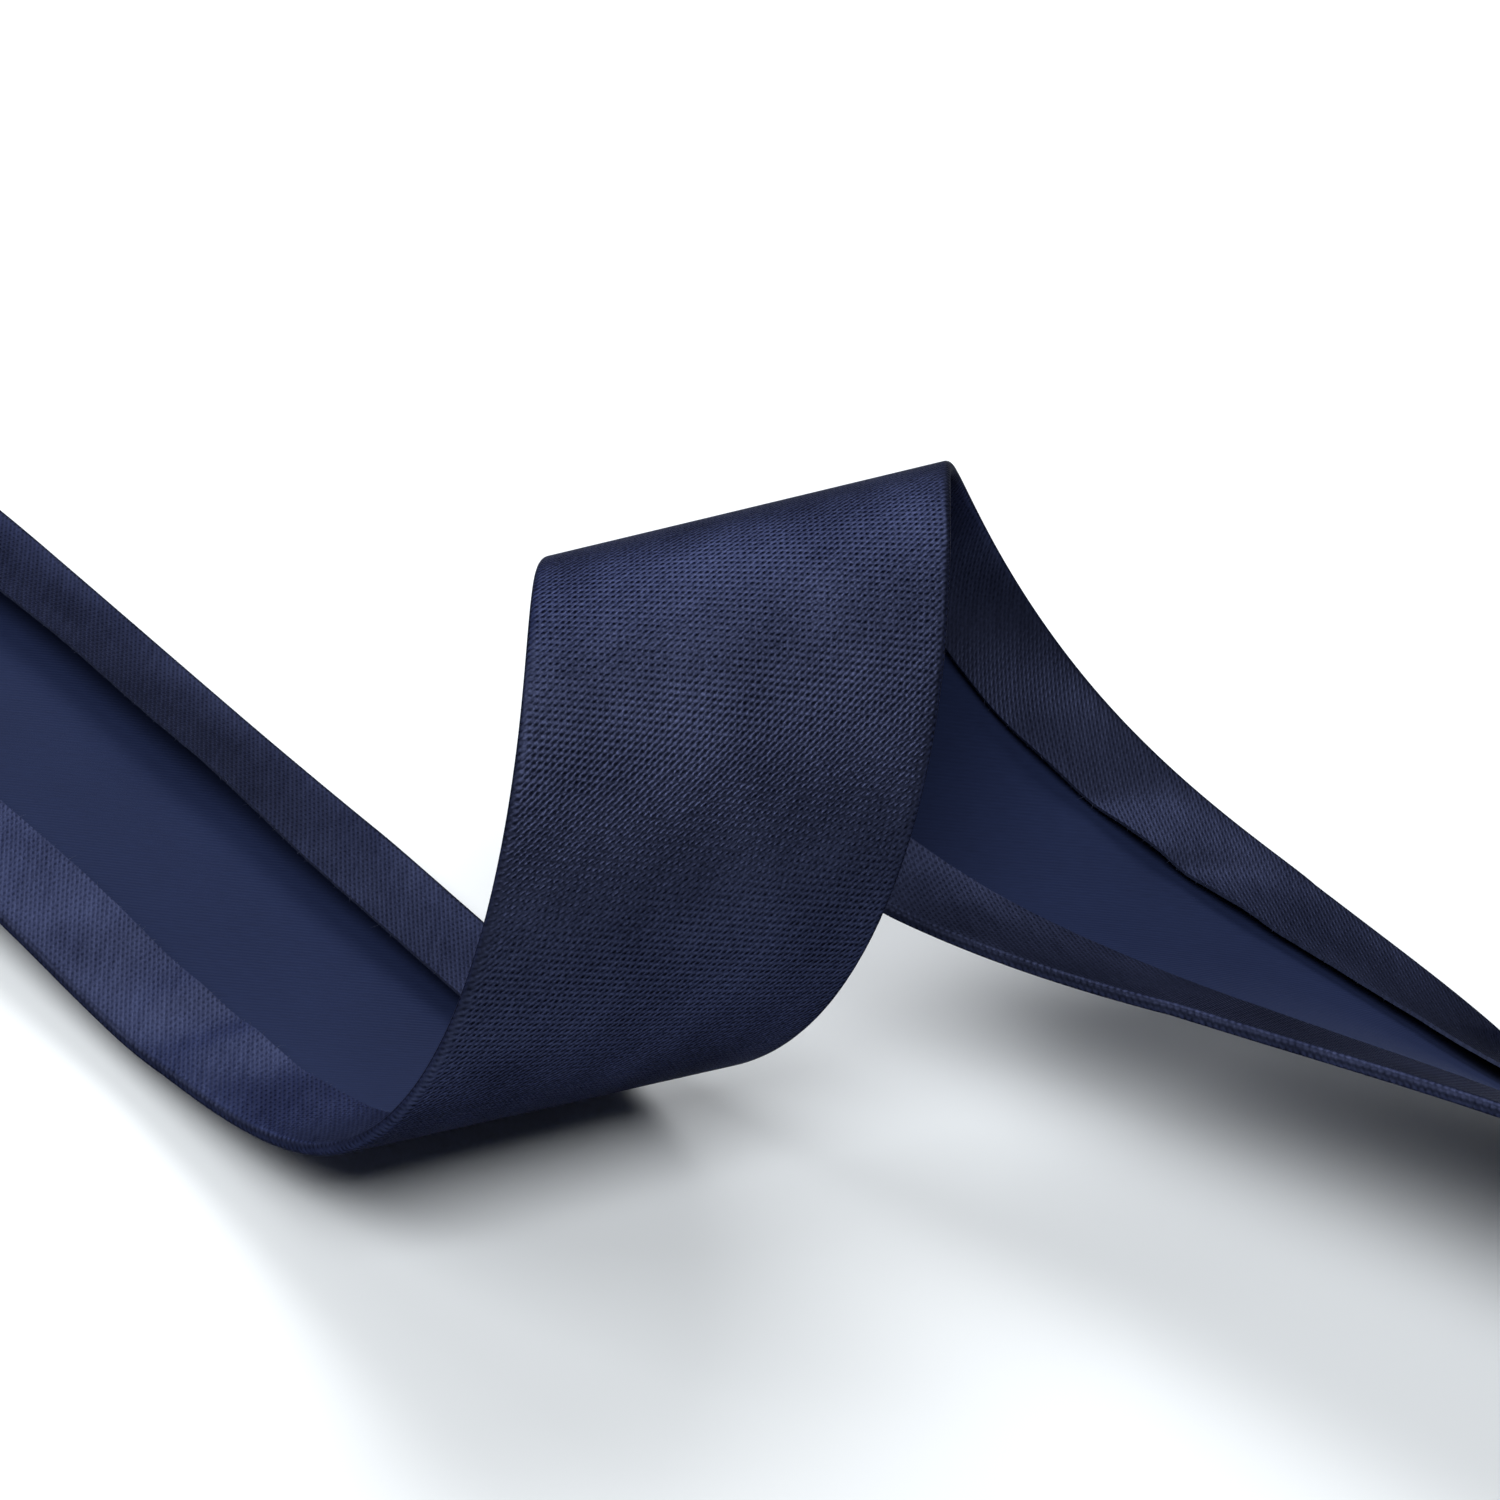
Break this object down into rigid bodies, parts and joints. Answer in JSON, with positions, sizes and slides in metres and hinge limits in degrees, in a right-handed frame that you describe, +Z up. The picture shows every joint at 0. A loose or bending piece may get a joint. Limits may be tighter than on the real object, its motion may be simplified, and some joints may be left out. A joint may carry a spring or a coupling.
{
  "type": "bias tape",
  "caption": "Folded satin tape with both long edges pressed onto its back, lying in a loose curl with a flat tail each way.",
  "frame": {"origin": "middle of the tape's bounding box, on the table it lies on", "axes": "+X along the tape's longest extent, from the left tail to the right one; +Y away from the front of the curl; +Z up from the table"},
  "size_m": [0.2331, 0.1959, 0.0302],
  "materials": {
    "satin": "satin, navy blue"
  },
  "bodies": {
    "run_and_curl": {"left_run_face": "satin", "left_run_crease_a": "satin", "left_run_crease_b": "satin", "left_run_turning_a": "satin", "left_run_turning_b": "satin", "rise_face": "satin", "rise_crease_a": "satin", "rise_crease_b": "satin", "rise_turning_a": "satin", "rise_turning_b": "satin", "fall_face": "satin", "fall_crease_a": "satin", "fall_crease_b": "satin", "fall_turning_a": "satin", "fall_turning_b": "satin", "right_run_face": "satin", "right_run_crease_a": "satin", "right_run_crease_b": "satin", "right_run_turning_a": "satin", "right_run_turning_b": "satin"},
    "left_tail": {"left_tail_face": "satin", "left_tail_crease_a": "satin", "left_tail_crease_b": "satin"},
    "left_flap_a": {"left_tail_turning_a": "satin"},
    "left_flap_b": {"left_tail_turning_b": "satin"},
    "right_tail": {"right_tail_face": "satin", "right_tail_crease_a": "satin", "right_tail_crease_b": "satin"},
    "right_flap_a": {"right_tail_turning_a": "satin"},
    "right_flap_b": {"right_tail_turning_b": "satin"}
  },
  "joints": [
    {"name": "left_tail_lift", "type": "hinge", "parent": "run_and_curl", "child": "left_tail", "pos_m": [-0.0827, 0.0612, 0.0007], "axis": [0.7547, 0.6561, 0], "range_deg": [0, 50]},
    {"name": "left_flap_a_open", "type": "hinge", "parent": "left_tail", "child": "left_flap_a", "pos_m": [-0.07542, 0.06753, 0.00035], "axis": [-0.6561, 0.7547, 0], "range_deg": [0, 165]},
    {"name": "left_flap_b_open", "type": "hinge", "parent": "left_tail", "child": "left_flap_b", "pos_m": [-0.08998, 0.05487, 0.00035], "axis": [0.6561, -0.7547, 0], "range_deg": [0, 165]},
    {"name": "right_tail_lift", "type": "hinge", "parent": "run_and_curl", "child": "right_tail", "pos_m": [0.08161, -0.06233, 0.0007], "axis": [-0.7184, -0.6956, 0], "range_deg": [0, 50]},
    {"name": "right_flap_a_open", "type": "hinge", "parent": "right_tail", "child": "right_flap_a", "pos_m": [0.08854, -0.05562, 0.00035], "axis": [-0.6956, 0.7184, 0], "range_deg": [0, 165]},
    {"name": "right_flap_b_open", "type": "hinge", "parent": "right_tail", "child": "right_flap_b", "pos_m": [0.07468, -0.06904, 0.00035], "axis": [0.6956, -0.7184, 0], "range_deg": [0, 165]}
  ]
}
